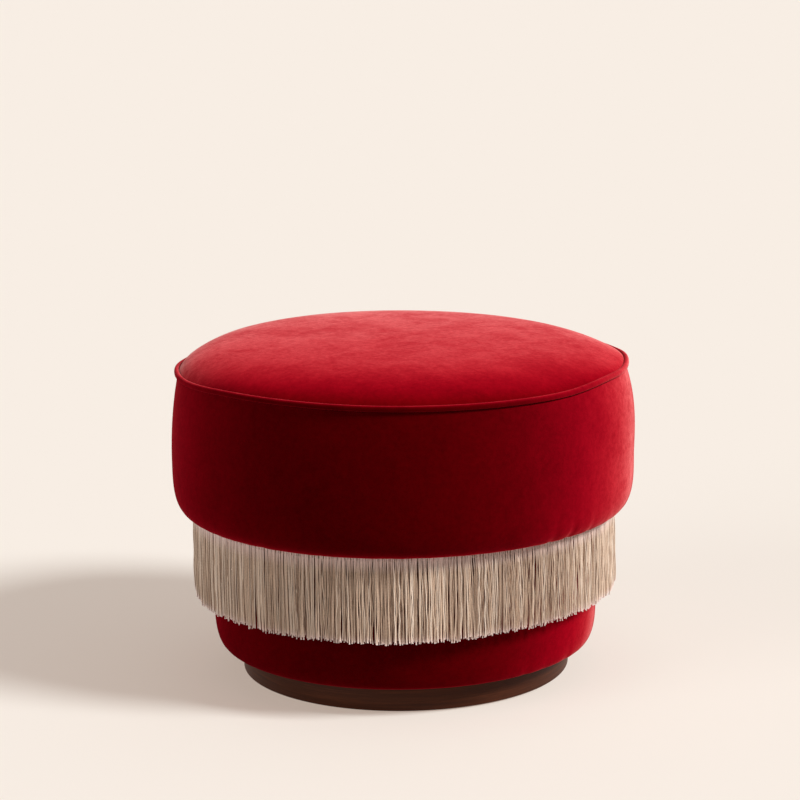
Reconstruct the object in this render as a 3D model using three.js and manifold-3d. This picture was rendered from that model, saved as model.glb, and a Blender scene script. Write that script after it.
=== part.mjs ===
import * as THREE from "three";
import { mergeVertices } from "three/addons/utils/BufferGeometryUtils.js";
import Module from "manifold-3d";

const wasm = await Module();
wasm.setup();

// Driving dimensions in millimetres, +Z up, origin on the floor under the middle
const seatRadius = 300;
const seatTopInset = 11.5;
const seatDepth = 188;
const seatCornerRun = 36;
const seatCornerRise = 69;
const pipingInset = 10.5;
const pipingRadius = 3.5;
const pipingFlangeWidth = 12;
const pipingFlangeThickness = 1.2;
const crownRise = 15;
const shoulderRise = 22.5;
const drumInset = 49.5;
const drumHeight = 178.5;
const drumCornerRise = 55;
const plinthInset = 36.5;
const plinthHeight = 37;
const plinthBandThickness = 3;
const plinthBandLift = 1.5;
const plinthCoreThickness = 16;
const fringeInset = 27;
const fringeLength = 107;

// Stock and cloth thicknesses
const velvetThickness = 2;
const waddingThickness = 8;
const seatBoardThickness = 18;
const seatBaseFoamThickness = 92;
const drumBoardThickness = 18;
const drumFoamThickness = 15;
const drumShellThickness = 4;
const baseClothThickness = 0.8;
const baseClothMargin = 5;
const tackMargin = 30;
const seatGap = 0.3;

// Fringe
const headingWidth = 14.5;
const headingThickness = 1.8;
const stitchedStripDepth = 2;
const stitchedStripWidth = 7.2;
const threadRadius = 2;
const threadRowGap = 2.6;
const threadRaggedness = 3;

// Frame
const postWidth = 40;
const postEdgeMargin = 14;
const glideRadius = 14;
const glideHeight = 3;
const glideEdgeMargin = 12;

// Hardware
const screwShankRadius = 2.2;
const screwHeadRadius = 4.5;
const screwHeadDepth = 3;
const screwLength = 45;
const screwTipLength = 5;
const screwHeadRim = 0.5;
const screwSink = 0.8;
const cutOverrun = 2;
const plinthScrewRingRadius = 130;
const plinthScrewLength = 48;
const boltRadius = 4;
const boltHeadRadius = 6.5;
const boltHeadHeight = 5;
const boltRingRadius = 150;
const boltEndMargin = 3;
const washerRadius = 11;
const washerThickness = 1.6;
const nutBarrelRadius = 5.5;
const nutFlangeRadius = 10;
const nutFlangeThickness = 1.4;
const nutBarrelLength = 12;

// Counts and curve powers
const outerSegments = 48;
const innerSegments = 24;
const seatSideSteps = 3;
const seatCornerSteps = 5;
const drumCornerSteps = 5;
const pipingSteps = 7;
const screwSegments = 8;
const glideSegments = 16;
const threadSides = 3;
const threadsPerRow = 152;
const postCount = 6;
const boltCount = 4;
const plinthScrewCount = 4;
const glideCount = 4;
const seatCornerPower = 3.5;
const drumCornerPower = 2.7;
const shoulderPower = 10;
const goldenTurn = Math.PI * (3 - Math.sqrt(5));

// Heights and radii that follow from the sizes above
const seatBaseHeight = plinthHeight + drumHeight;
const seatBellyHeight = seatBaseHeight + seatCornerRise;
const pipingHeight = seatBaseHeight + seatDepth;
const seatTopRadius = seatRadius - seatTopInset;
const pipingRingRadius = seatRadius - pipingInset;
const fringeRadius = seatRadius - fringeInset;
const fringeTipHeight = seatBaseHeight - fringeLength;
const drumRadius = seatRadius - drumInset;
const plinthRadius = drumRadius - plinthInset;
const crownRadius = pipingRingRadius - pipingRadius - seatGap;
const seatCornerRadius = seatRadius - seatCornerRun;
const seatBoardRadius = seatCornerRadius - seatGap;
const seatBoardBottom = seatBaseHeight + velvetThickness + seatGap;
const seatBoardTop = seatBoardBottom + seatBoardThickness;
const seatBaseFoamTop = seatBoardTop + seatGap + seatBaseFoamThickness;
const seatSideTop = pipingHeight - pipingRadius - seatGap;
const flangeBottom = pipingHeight - pipingRadius;
const flangeInnerRadius = pipingRingRadius - pipingRadius - pipingFlangeWidth;
const paddingStepRadius = flangeInnerRadius - seatGap;
const foamStepRadius = paddingStepRadius - waddingThickness;
const seatInset = velvetThickness + seatGap;
const foamInset = seatInset + waddingThickness + seatGap;
const drumTop = seatBaseHeight - seatGap;
const drumTopBoardBottom = drumTop - drumBoardThickness;
const drumFoamInnerRadius = drumRadius - velvetThickness - seatGap - drumFoamThickness;
const drumShellRadius = drumFoamInnerRadius - seatGap;
const drumBoardRadius = drumShellRadius - drumShellThickness - seatGap;
const drumBoardBottom = plinthHeight + velvetThickness + seatGap;
const drumBottomBoardTop = drumBoardBottom + drumBoardThickness;
const postRingRadius = drumBoardRadius - postEdgeMargin - postWidth / 2;
const plinthTop = plinthHeight - seatGap;
const upperCoreBottom = plinthTop - plinthCoreThickness;
const lowerCoreTop = upperCoreBottom - seatGap;
const lowerCoreBottom = lowerCoreTop - plinthCoreThickness;
const plinthCoreRadius = plinthRadius - plinthBandThickness - seatGap;
const baseClothRadius = plinthCoreRadius - baseClothMargin;
const baseClothTop = lowerCoreBottom - seatGap;
const glideRingRadius = baseClothRadius - glideEdgeMargin - glideRadius;
const headingTop = seatBaseHeight - seatGap;
const stripTop = headingTop - headingThickness - seatGap;

// Finishes
function finish(colour, roughness, metalness = 0) {
  return new THREE.MeshStandardMaterial({ color: colour, roughness, metalness });
}
const velvet = finish(0x9c1420, 0.9);
const pipingVelvet = finish(0xa8161f, 0.85);
const fringeYarn = finish(0xb9a08c, 0.8);
const stainedWood = finish(0x32201a, 0.45);
const plywood = finish(0xc9a878, 0.7);
const softwood = finish(0xd8b98a, 0.75);
const foam = finish(0xe6dcb4, 0.95);
const wadding = finish(0xf2f0ea, 1);
const fibreboard = finish(0xa98458, 0.8);
const zincSteel = finish(0xb9bcbf, 0.35, 0.9);
const blackCloth = finish(0x1f1d1c, 0.95);
const glidePlastic = finish(0x2b2725, 0.6);

const tuffet = new THREE.Group();

function addPiece(name, geometry, material) {
  const mesh = new THREE.Mesh(geometry, material);
  mesh.name = name;
  tuffet.add(mesh);
  return mesh;
}

// A profile of [radius, height] pairs turned about the Z axis
function turned(profile, segments) {
  const points = profile.map(([radius, height]) => new THREE.Vector2(radius, height));
  const geometry = new THREE.LatheGeometry(points, segments);
  geometry.rotateX(Math.PI / 2);
  return geometry;
}

function turnedRing(profile, segments) {
  return turned([...profile, profile[0]], segments);
}

function disc(radius, bottom, top, segments) {
  return turned([[0, bottom], [radius, bottom], [radius, top], [0, top]], segments);
}

function toSolid(geometry) {
  const bare = geometry.clone();
  bare.deleteAttribute("normal");
  bare.deleteAttribute("uv");
  const merged = mergeVertices(bare);
  const mesh = new wasm.Mesh({
    numProp: 3,
    vertProperties: Float32Array.from(merged.attributes.position.array),
    triVerts: Uint32Array.from(merged.index.array),
  });
  return new wasm.Manifold(mesh);
}

function toGeometry(solid) {
  const mesh = solid.getMesh();
  const geometry = new THREE.BufferGeometry();
  geometry.setAttribute("position", new THREE.BufferAttribute(mesh.vertProperties, 3));
  geometry.setIndex(new THREE.BufferAttribute(mesh.triVerts, 1));
  geometry.computeVertexNormals();
  return geometry;
}

function cut(geometry, tools) {
  let solid = toSolid(geometry);
  for (const tool of tools) {
    solid = solid.subtract(toSolid(tool));
  }
  return toGeometry(solid);
}

// Places round the Z axis, evenly spaced, as [x, y, angle]
function ringPlaces(count, radius, startTurn) {
  const places = [];
  for (let i = 0; i < count; i += 1) {
    const angle = startTurn + (i * 2 * Math.PI) / count;
    places.push([radius * Math.cos(angle), radius * Math.sin(angle), angle]);
  }
  return places;
}

function movedTo(geometry, x, y) {
  return geometry.clone().translate(x, y, 0);
}

// Quarter of a superellipse from its side (r + run) down to its base (height - rise)
function cornerCurve(centreRadius, centreHeight, run, rise, power, steps) {
  const points = [];
  for (let i = 0; i <= steps; i += 1) {
    const angle = (i / steps) * (Math.PI / 2);
    const across = i === steps ? 0 : Math.cos(angle) ** (2 / power);
    const down = Math.sin(angle) ** (2 / power);
    points.push([centreRadius + run * across, centreHeight - rise * down]);
  }
  return points;
}

function seatSideRadius(height) {
  const share = (height - seatBellyHeight) / (seatSideTop - seatBellyHeight);
  return seatRadius - (seatRadius - seatTopRadius) * share * share;
}

// Heights where the seat's side is faceted, from its top down to its belly
function facetHeights() {
  const heights = [];
  for (let i = 0; i <= seatSideSteps; i += 1) {
    heights.push(seatSideTop - (i / seatSideSteps) * (seatSideTop - seatBellyHeight));
  }
  return heights;
}

// Radius of the faceted side at any height
function facetRadius(height) {
  const heights = facetHeights();
  const below = Math.max(1, heights.findIndex((facetHeight) => facetHeight <= height));
  const share = (heights[below - 1] - height) / (heights[below - 1] - heights[below]);
  const upper = seatSideRadius(heights[below - 1]);
  return upper + share * (seatSideRadius(heights[below]) - upper);
}

// Points down the seat's side, from one height to a lower one
function seatSideBand(inset, topHeight, bottomHeight) {
  const between = facetHeights().filter((height) => height < topHeight && height > bottomHeight);
  const heights = [topHeight, ...between, bottomHeight];
  return heights.map((height) => [facetRadius(height) - inset, height]);
}

// Points down the seat's side from a height, round its lower corner to the base
function seatSideCurve(inset, topHeight) {
  const run = seatCornerRun - inset;
  const rise = seatCornerRise - inset;
  const corner = cornerCurve(
    seatCornerRadius, seatBellyHeight, run, rise, seatCornerPower, seatCornerSteps,
  );
  return [...seatSideBand(inset, topHeight, seatBellyHeight).slice(0, -1), ...corner];
}

function crownHeight(radius) {
  const share = radius / crownRadius;
  return pipingHeight + crownRise * (1 - share ** 2) + shoulderRise * (1 - share ** shoulderPower);
}

// Radii where the crown is faceted, as shares of its own radius
const crownShares = [0, 0.35, 0.6, 0.76, 0.87, 0.94, 0.98, 1];

// Height of the faceted crown at any radius
function crownFacetHeight(radius) {
  const beyond = crownShares.findIndex((share) => share * crownRadius >= radius);
  const outer = crownShares[Math.max(1, beyond)] * crownRadius;
  const inner = crownShares[Math.max(1, beyond) - 1] * crownRadius;
  const share = (radius - inner) / (outer - inner);
  return crownHeight(inner) + share * (crownHeight(outer) - crownHeight(inner));
}

// Points over the crown from the axis out to a radius, lowered by an inset
function crownCurve(inset, reach) {
  const radii = crownShares.map((share) => share * crownRadius).filter((radius) => radius < reach);
  return [...radii, reach].map((radius) => [radius, crownFacetHeight(radius) - inset]);
}

// Velvet top of the seat
function seatTopCover() {
  const outer = crownCurve(0, crownRadius);
  const inner = outer.map(([radius, height]) => [radius, height - velvetThickness]);
  return turned([...inner, ...outer.reverse()], outerSegments);
}

// Covered cord with its seam flange, turned inwards between the two covers
function seatPiping() {
  const arcStart = -Math.PI / 2;
  const arcEnd = Math.PI + Math.asin(1 - pipingFlangeThickness / pipingRadius);
  const points = [];
  for (let i = 0; i <= pipingSteps; i += 1) {
    const angle = arcStart + ((arcEnd - arcStart) * i) / pipingSteps;
    const radius = pipingRingRadius + pipingRadius * Math.cos(angle);
    points.push([radius, pipingHeight + pipingRadius * Math.sin(angle)]);
  }
  points.push([flangeInnerRadius, flangeBottom + pipingFlangeThickness]);
  points.push([flangeInnerRadius, flangeBottom]);
  return turnedRing(points, outerSegments);
}

// Velvet side of the seat, drawn in at its lower corner and turned under the board
function seatSideCover() {
  const marginRadius = seatCornerRadius - tackMargin;
  const outer = [
    ...seatSideCurve(0, seatSideTop),
    [marginRadius, seatBaseHeight],
  ];
  const inner = [
    ...seatSideCurve(velvetThickness, seatSideTop),
    [marginRadius, seatBaseHeight + velvetThickness],
  ];
  return turnedRing([...outer.reverse(), ...inner], outerSegments);
}

// Wadding over the foam, stepped and thinned to pass under the piping's flange
function seatWadding() {
  const rimRadius = seatTopRadius - seatInset - seatGap;
  const rimTop = flangeBottom - seatGap;
  const rimBottom = rimTop - waddingThickness / 2;
  const top = [...crownCurve(seatInset, paddingStepRadius), [paddingStepRadius, rimTop]];
  const under = crownCurve(seatInset + waddingThickness, foamStepRadius);
  const bottom = [...under, [foamStepRadius, rimBottom]];
  const rim = [[rimRadius, rimBottom], [rimRadius, rimTop]];
  return turned([...bottom, ...rim, ...top.reverse()], innerSegments);
}

// Soft foam layer with the crown cut into its top and a step for the wadding's rim
function seatTopFoam() {
  const crownReach = foamStepRadius - seatGap;
  const bottomHeight = seatBaseFoamTop + seatGap;
  const rimTop = flangeBottom - seatGap - waddingThickness / 2 - seatGap;
  const top = [...crownCurve(foamInset, crownReach), [crownReach, rimTop]];
  const side = seatSideBand(seatInset, rimTop, bottomHeight).reverse();
  return turned([[0, bottomHeight], ...side, ...top.reverse()], innerSegments);
}

// Firm foam layer, recessed underneath over the seat board
function seatBaseFoam() {
  const side = seatSideCurve(seatInset, seatBaseFoamTop).reverse();
  const recessTop = seatBoardTop + seatGap;
  const recess = [[0, recessTop], [seatCornerRadius, recessTop]];
  return turned([...recess, ...side, [0, seatBaseFoamTop]], innerSegments);
}

// Countersunk wood screw pointing down, with the widest ring of its head at height 0
function screwProfile(length, clearance, headTop) {
  const shank = screwShankRadius + clearance;
  const head = screwHeadRadius + clearance;
  return [
    [0, -length - clearance],
    [shank, screwTipLength - length],
    [shank, -screwHeadDepth],
    [head, 0],
    [head, headTop],
    [0, headTop],
  ];
}

function screwBody(length) {
  return turned(screwProfile(length, 0, screwHeadRim), screwSegments);
}

function screwHole(length) {
  return turned(screwProfile(length, seatGap, cutOverrun), screwSegments);
}

// The same screw or hole, pointing up
function flipped(geometry) {
  return geometry.clone().rotateX(Math.PI);
}

function roundHole(radius, bottom, top) {
  return disc(radius, bottom - cutOverrun, top + cutOverrun, screwSegments);
}

const postPlaces = ringPlaces(postCount, postRingRadius, 0);
const boltPlaces = ringPlaces(boltCount, boltRingRadius, Math.PI / boltCount);
const plinthScrewPlaces = ringPlaces(plinthScrewCount, plinthScrewRingRadius, 0);
const glidePlaces = ringPlaces(glideCount, glideRingRadius, Math.PI / glideCount);
const topScrewHeight = drumTop - screwSink;
const bottomScrewHeight = drumBoardBottom + screwSink;
const plinthScrewHeight = lowerCoreBottom + screwSink;

function holesAt(places, hole, height) {
  return places.map(([x, y]) => hole.clone().translate(x, y, height));
}

function topScrewHoles() {
  return holesAt(postPlaces, screwHole(screwLength), topScrewHeight);
}

function bottomScrewHoles() {
  return holesAt(postPlaces, flipped(screwHole(screwLength)), bottomScrewHeight);
}

function plinthScrewHoles() {
  const hole = flipped(screwHole(plinthScrewLength));
  return holesAt(plinthScrewPlaces, hole, plinthScrewHeight);
}

// Plywood disc under the seat foam, drilled and recessed for the tee nuts
function seatBoard() {
  const board = disc(seatBoardRadius, seatBoardBottom, seatBoardTop, innerSegments);
  const barrelHole = roundHole(nutBarrelRadius + seatGap, seatBoardBottom, seatBoardTop);
  const recessFloor = seatBoardTop - nutFlangeThickness - seatGap;
  const recess = disc(
    nutFlangeRadius + seatGap, recessFloor, seatBoardTop + cutOverrun, screwSegments,
  );
  return cut(board, [...holesAt(boltPlaces, barrelHole, 0), ...holesAt(boltPlaces, recess, 0)]);
}

function drumTopBoard() {
  const board = disc(drumBoardRadius, drumTopBoardBottom, drumTop, innerSegments);
  const boltHole = roundHole(boltRadius + seatGap, drumTopBoardBottom, drumTop);
  return cut(board, [...holesAt(boltPlaces, boltHole, 0), ...topScrewHoles()]);
}

function drumBottomBoard() {
  const board = disc(drumBoardRadius, drumBoardBottom, drumBottomBoardTop, innerSegments);
  return cut(board, [...bottomScrewHoles(), ...plinthScrewHoles()]);
}

// Softwood post, standing between the drum's boards with a screw into each end
function drumPost(angle) {
  const bottom = drumBottomBoardTop + seatGap;
  const top = drumTopBoardBottom - seatGap;
  const post = new THREE.BoxGeometry(postWidth, postWidth, top - bottom);
  post.translate(postRingRadius, 0, (top + bottom) / 2);
  const topHole = screwHole(screwLength).translate(postRingRadius, 0, topScrewHeight);
  const bottomHole = flipped(screwHole(screwLength));
  bottomHole.translate(postRingRadius, 0, bottomScrewHeight);
  return cut(post, [topHole, bottomHole]).rotateZ(angle);
}

// Bent plywood skin round the drum's boards
function drumShell() {
  const inner = drumShellRadius - drumShellThickness;
  return turnedRing([
    [inner, drumBoardBottom],
    [drumShellRadius, drumBoardBottom],
    [drumShellRadius, drumTop],
    [inner, drumTop],
  ], innerSegments);
}

// Side of the drum from its top down and round its lower corner
function drumSideCurve(inset) {
  const run = drumRadius - drumFoamInnerRadius - inset;
  const rise = drumCornerRise - inset;
  const centreHeight = plinthHeight + drumCornerRise;
  const corner = cornerCurve(
    drumFoamInnerRadius, centreHeight, run, rise, drumCornerPower, drumCornerSteps,
  );
  return [[drumRadius - inset, drumTop], ...corner];
}

function drumFoam() {
  const side = drumSideCurve(velvetThickness + seatGap).reverse();
  return turnedRing([...side, [drumFoamInnerRadius, drumTop]], innerSegments);
}

// Velvet of the drum, turned under its bottom board and tacked there
function drumCover() {
  const marginRadius = drumFoamInnerRadius - tackMargin;
  const outer = [...drumSideCurve(0), [marginRadius, plinthHeight]];
  const inner = [
    ...drumSideCurve(velvetThickness),
    [marginRadius, plinthHeight + velvetThickness],
  ];
  return turnedRing([...outer.reverse(), ...inner], outerSegments);
}

function plinthUpperCore() {
  const core = disc(plinthCoreRadius, upperCoreBottom, plinthTop, innerSegments);
  return cut(core, plinthScrewHoles());
}

function plinthLowerCore() {
  const core = disc(plinthCoreRadius, lowerCoreBottom, lowerCoreTop, innerSegments);
  return cut(core, plinthScrewHoles());
}

// Stained wood band bent round the plinth's cores
function plinthBand() {
  const inner = plinthRadius - plinthBandThickness;
  return turnedRing([
    [inner, plinthBandLift],
    [plinthRadius, plinthBandLift],
    [plinthRadius, plinthTop],
    [inner, plinthTop],
  ], outerSegments);
}

function baseCloth() {
  const bottom = baseClothTop - baseClothThickness;
  return disc(baseClothRadius, bottom, baseClothTop, innerSegments);
}

// Woven tape of the fringe, flat under the seat's edge
function fringeHeading() {
  const inner = fringeRadius - headingWidth;
  return turnedRing([
    [inner, headingTop - headingThickness],
    [fringeRadius, headingTop - headingThickness],
    [fringeRadius, headingTop],
    [inner, headingTop],
  ], innerSegments);
}

// How much longer or shorter one thread hangs than the next
function raggedEnd(index) {
  return threadRaggedness * Math.sin(index * goldenTurn) * Math.cos(index * index);
}

// Cross-section of one thread, turned by an angle
function threadSection(turn) {
  const corners = [];
  for (let i = 0; i < threadSides; i += 1) {
    const angle = turn + (i * 2 * Math.PI) / threadSides;
    corners.push(new THREE.Vector2(threadRadius * Math.cos(angle), threadRadius * Math.sin(angle)));
  }
  return new THREE.Shape(corners);
}

// Two staggered rows of threads, fused to the stitched strip that they hang from
function fringeThreads() {
  const inner = fringeRadius - stitchedStripWidth;
  const stripBottom = stripTop - stitchedStripDepth;
  const threadTop = stripBottom + stitchedStripDepth / 2;
  let fringe = toSolid(turnedRing([
    [inner, stripBottom],
    [fringeRadius, stripBottom],
    [fringeRadius, stripTop],
    [inner, stripTop],
  ], outerSegments));
  for (let i = 0; i < 2 * threadsPerRow; i += 1) {
    const angle = (i * Math.PI) / threadsPerRow;
    const outward = i % 2 ? 1 : -1;
    const radius = fringeRadius - stitchedStripWidth / 2 + (outward * threadRowGap) / 2;
    const bottom = fringeTipHeight + raggedEnd(i);
    const section = threadSection(i * goldenTurn);
    const thread = new THREE.ExtrudeGeometry(section, {
      depth: threadTop - bottom,
      steps: 1,
      bevelEnabled: false,
    });
    thread.translate(radius * Math.cos(angle), radius * Math.sin(angle), bottom);
    fringe = fringe.add(toSolid(thread));
  }
  return toGeometry(fringe);
}

// Seat bolt, its head under the drum's top board and its end in the tee nut
function seatBolt() {
  const headTop = drumTopBoardBottom - washerThickness - 2 * seatGap;
  const end = seatBoardTop - boltEndMargin;
  return turned([
    [0, headTop - boltHeadHeight],
    [boltHeadRadius, headTop - boltHeadHeight],
    [boltHeadRadius, headTop],
    [boltRadius, headTop],
    [boltRadius, end],
    [0, end],
  ], screwSegments);
}

function seatWasher() {
  const top = drumTopBoardBottom - seatGap;
  const bottom = top - washerThickness;
  const inner = boltRadius + seatGap;
  return turnedRing(
    [[inner, bottom], [washerRadius, bottom], [washerRadius, top], [inner, top]], screwSegments,
  );
}

// Tee nut let into the top of the seat board
function seatNut() {
  const inner = boltRadius + seatGap;
  const flangeUnderside = seatBoardTop - nutFlangeThickness;
  const end = flangeUnderside - nutBarrelLength;
  return turnedRing([
    [inner, end],
    [nutBarrelRadius, end],
    [nutBarrelRadius, flangeUnderside],
    [nutFlangeRadius, flangeUnderside],
    [nutFlangeRadius, seatBoardTop],
    [inner, seatBoardTop],
  ], screwSegments);
}

addPiece("seat_top_cover", seatTopCover(), velvet);
addPiece("seat_piping", seatPiping(), pipingVelvet);
addPiece("seat_side_cover", seatSideCover(), velvet);
addPiece("seat_wadding", seatWadding(), wadding);
addPiece("seat_top_foam", seatTopFoam(), foam);
addPiece("seat_base_foam", seatBaseFoam(), foam);
addPiece("seat_board", seatBoard(), plywood);
addPiece("fringe_heading", fringeHeading(), fringeYarn);
addPiece("fringe_threads", fringeThreads(), fringeYarn);
addPiece("drum_cover", drumCover(), velvet);
addPiece("drum_foam", drumFoam(), foam);
addPiece("drum_shell", drumShell(), plywood);
addPiece("drum_top_board", drumTopBoard(), plywood);
addPiece("drum_bottom_board", drumBottomBoard(), plywood);
addPiece("plinth_upper_core", plinthUpperCore(), fibreboard);
addPiece("plinth_lower_core", plinthLowerCore(), fibreboard);
addPiece("plinth_band", plinthBand(), stainedWood);
addPiece("base_cloth", baseCloth(), blackCloth);

postPlaces.forEach(([x, y, angle], i) => {
  addPiece(`drum_post_${i + 1}`, drumPost(angle), softwood);
  const topScrew = addPiece(`top_screw_${i + 1}`, screwBody(screwLength), zincSteel);
  topScrew.position.set(x, y, topScrewHeight);
  const bottomScrew = addPiece(`bottom_screw_${i + 1}`, screwBody(screwLength), zincSteel);
  bottomScrew.rotation.x = Math.PI;
  bottomScrew.position.set(x, y, bottomScrewHeight);
});

boltPlaces.forEach(([x, y], i) => {
  addPiece(`seat_bolt_${i + 1}`, movedTo(seatBolt(), x, y), zincSteel);
  addPiece(`seat_washer_${i + 1}`, movedTo(seatWasher(), x, y), zincSteel);
  addPiece(`seat_nut_${i + 1}`, movedTo(seatNut(), x, y), zincSteel);
});

plinthScrewPlaces.forEach(([x, y], i) => {
  const screw = addPiece(`plinth_screw_${i + 1}`, screwBody(plinthScrewLength), zincSteel);
  screw.rotation.x = Math.PI;
  screw.position.set(x, y, plinthScrewHeight);
});

glidePlaces.forEach(([x, y], i) => {
  const glide = disc(glideRadius, 0, glideHeight, glideSegments);
  addPiece(`glide_${i + 1}`, movedTo(glide, x, y), glidePlastic);
});

export default tuffet;
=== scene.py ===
import math
import random

import bpy
from mathutils import Matrix, Vector


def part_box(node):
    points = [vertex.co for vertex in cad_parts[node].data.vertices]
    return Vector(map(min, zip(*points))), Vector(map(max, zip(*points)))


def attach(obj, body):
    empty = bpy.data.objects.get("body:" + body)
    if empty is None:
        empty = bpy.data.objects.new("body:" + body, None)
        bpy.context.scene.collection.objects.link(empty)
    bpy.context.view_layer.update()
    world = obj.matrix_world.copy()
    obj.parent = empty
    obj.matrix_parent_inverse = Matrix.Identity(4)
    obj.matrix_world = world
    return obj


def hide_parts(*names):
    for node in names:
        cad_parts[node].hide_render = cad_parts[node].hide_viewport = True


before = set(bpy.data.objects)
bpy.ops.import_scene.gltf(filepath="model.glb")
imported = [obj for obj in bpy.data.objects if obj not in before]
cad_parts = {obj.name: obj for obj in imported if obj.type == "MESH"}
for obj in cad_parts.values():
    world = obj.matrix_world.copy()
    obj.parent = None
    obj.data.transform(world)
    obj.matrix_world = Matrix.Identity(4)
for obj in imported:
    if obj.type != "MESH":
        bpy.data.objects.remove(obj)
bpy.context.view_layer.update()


# Camera: a long lens 3.3 m in front of the tuffet and a metre above the floor, which dips
# to look down on the seat. It leans a little, so the right side stands slightly higher.
camera_place = (0.0, -3.3117, 1.0656)
camera_dip = math.radians(12.16)
camera_lean = math.radians(-0.89)
camera_turn = math.radians(0.045)
lens_length = 117.53
sensor_width = 36.0

camera = bpy.data.objects.new("camera", bpy.data.cameras.new("camera"))
camera.data.lens = lens_length
camera.data.sensor_width = sensor_width
camera.matrix_world = (
    Matrix.Translation(camera_place)
    @ Matrix.Rotation(camera_turn, 4, "Z")
    @ Matrix.Rotation(math.pi / 2 - camera_dip, 4, "X")
    @ Matrix.Rotation(camera_lean, 4, "Z")
)
bpy.context.scene.collection.objects.link(camera)
bpy.context.scene.camera = camera
bpy.context.scene.view_settings.view_transform = "Standard"


# Studio: a soft key lamp on the right and slightly in front, a very broad one overhead, a
# weak fill on the front left, a dim even room and a plain pale floor, which they light to
# exactly its own colour.
room_level = 0.10
key_level = 0.68
key_height = math.radians(39.5)
key_side = math.radians(-23.5)
key_breadth = math.radians(15)
overhead_height = math.radians(68)
overhead_side = math.radians(50)
overhead_breadth = math.radians(84)
fill_level = 0.080
fill_height = math.radians(20)
fill_side = math.radians(-146)
fill_breadth = math.radians(36)
floor_colour = (0.939, 0.855, 0.776, 1.0)
floor_glow = (0.40, 0.315, 0.262, 1.0)
floor_return = 0.54
floor_reach = 60.0


class Shade:
    """A socket of a finish. Python's own operators on it add Math nodes."""

    def __init__(self, tree, socket=None):
        self.tree = tree
        self.socket = socket

    def node(self, kind, settings=None, inputs=None, output=0):
        made = self.tree.nodes.new(kind)
        for name, value in (settings or {}).items():
            if name == "stops":
                self.set_stops(made.color_ramp, value)
            else:
                setattr(made, name, value)
        for name, value in (inputs or {}).items():
            if isinstance(value, Shade):
                self.tree.links.new(value.socket, made.inputs[name])
            else:
                made.inputs[name].default_value = value
        return Shade(self.tree, made.outputs[output] if len(made.outputs) else None)

    def set_stops(self, ramp, stops):
        while len(ramp.elements) < len(stops):
            ramp.elements.new(1.0)
        for element, (place, colour) in zip(ramp.elements, stops):
            element.position = place
            element.color = (*colour, 1.0)

    def scaled(self, *shares):
        """These coordinates, each times its own share."""
        return self.node("ShaderNodeVectorMath", {"operation": "MULTIPLY"}, {0: self, 1: shares})

    def maths(self, operation, first, second):
        return self.node("ShaderNodeMath", {"operation": operation}, {0: first, 1: second})

    def __add__(self, other):
        return self.maths("ADD", self, other)

    def __radd__(self, other):
        return self.maths("ADD", other, self)

    def __mul__(self, other):
        return self.maths("MULTIPLY", self, other)

    def __rmul__(self, other):
        return self.maths("MULTIPLY", other, self)

    def __pow__(self, other):
        return self.maths("POWER", self, other)

    def __rpow__(self, other):
        return self.maths("POWER", other, self)


def seen_by_eye(shade):
    """1 for what the camera sees, also in gloss and through glass, and 0 for all other light."""
    rays = [
        shade.node("ShaderNodeLightPath", output=f"Is {kind} Ray")
        for kind in ("Camera", "Glossy", "Transmission")
    ]
    return shade.maths("MAXIMUM", shade.maths("MAXIMUM", rays[0], rays[1]), rays[2])


room = bpy.data.worlds.new("room")
room.use_nodes = True
room.node_tree.nodes.clear()
bpy.context.scene.world = room
sky = Shade(room.node_tree)
dim_room = sky.node("ShaderNodeBackground", inputs={"Color": (1, 1, 1, 1), "Strength": room_level})
pale_wall = sky.node("ShaderNodeBackground", inputs={"Color": floor_colour, "Strength": 1.0})
room_mix = sky.node("ShaderNodeMixShader", inputs={0: seen_by_eye(sky), 1: dim_room, 2: pale_wall})
sky.node("ShaderNodeOutputWorld", inputs={"Surface": room_mix})


def hang_lamp(name, level, height, side, breadth):
    """A lamp far away, which by itself lights the floor to this share of its colour."""
    lamp = bpy.data.objects.new(name, bpy.data.lights.new(name, "SUN"))
    lamp.data.energy = math.pi * level / math.sin(height)
    lamp.data.angle = breadth
    level_reach = math.cos(height)
    towards = Vector((math.cos(side) * level_reach, math.sin(side) * level_reach, math.sin(height)))
    lamp.rotation_euler = towards.to_track_quat("Z", "Y").to_euler()
    bpy.context.scene.collection.objects.link(lamp)


hang_lamp("key_lamp", key_level, key_height, key_side, key_breadth)
hang_lamp("fill_lamp", fill_level, fill_height, fill_side, fill_breadth)
overhead_level = 1 - room_level - key_level - fill_level
hang_lamp("overhead_lamp", overhead_level, overhead_height, overhead_side, overhead_breadth)


def new_finish(name):
    """An empty material, and the Shade that nodes are added to it with."""
    material = bpy.data.materials.new(name)
    material.use_nodes = True
    material.node_tree.nodes.clear()
    return material, Shade(material.node_tree)


def finish_with(shade, surface):
    """The surface shader becomes the whole finish."""
    shade.node("ShaderNodeOutputMaterial", inputs={"Surface": surface})


def floor_finish():
    """Pale paper. Part of its paleness is for the eye alone, so it throws back less light."""
    material, shade = new_finish("pale_floor")

    def lit(colour):
        return shade.node("ShaderNodeBsdfDiffuse", inputs={"Color": (*colour, 1.0)})

    pale = shade.node("ShaderNodeEmission", inputs={"Color": floor_glow})
    rest = lit(whole - glow for whole, glow in zip(floor_colour[:3], floor_glow))
    both = shade.node("ShaderNodeAddShader", inputs={0: rest, 1: pale})
    thrown_back = lit(whole * floor_return for whole in floor_colour[:3])
    finish_with(shade, shade.node("ShaderNodeMixShader", inputs={
        0: seen_by_eye(shade), 1: thrown_back, 2: both,
    }))
    return material


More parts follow.
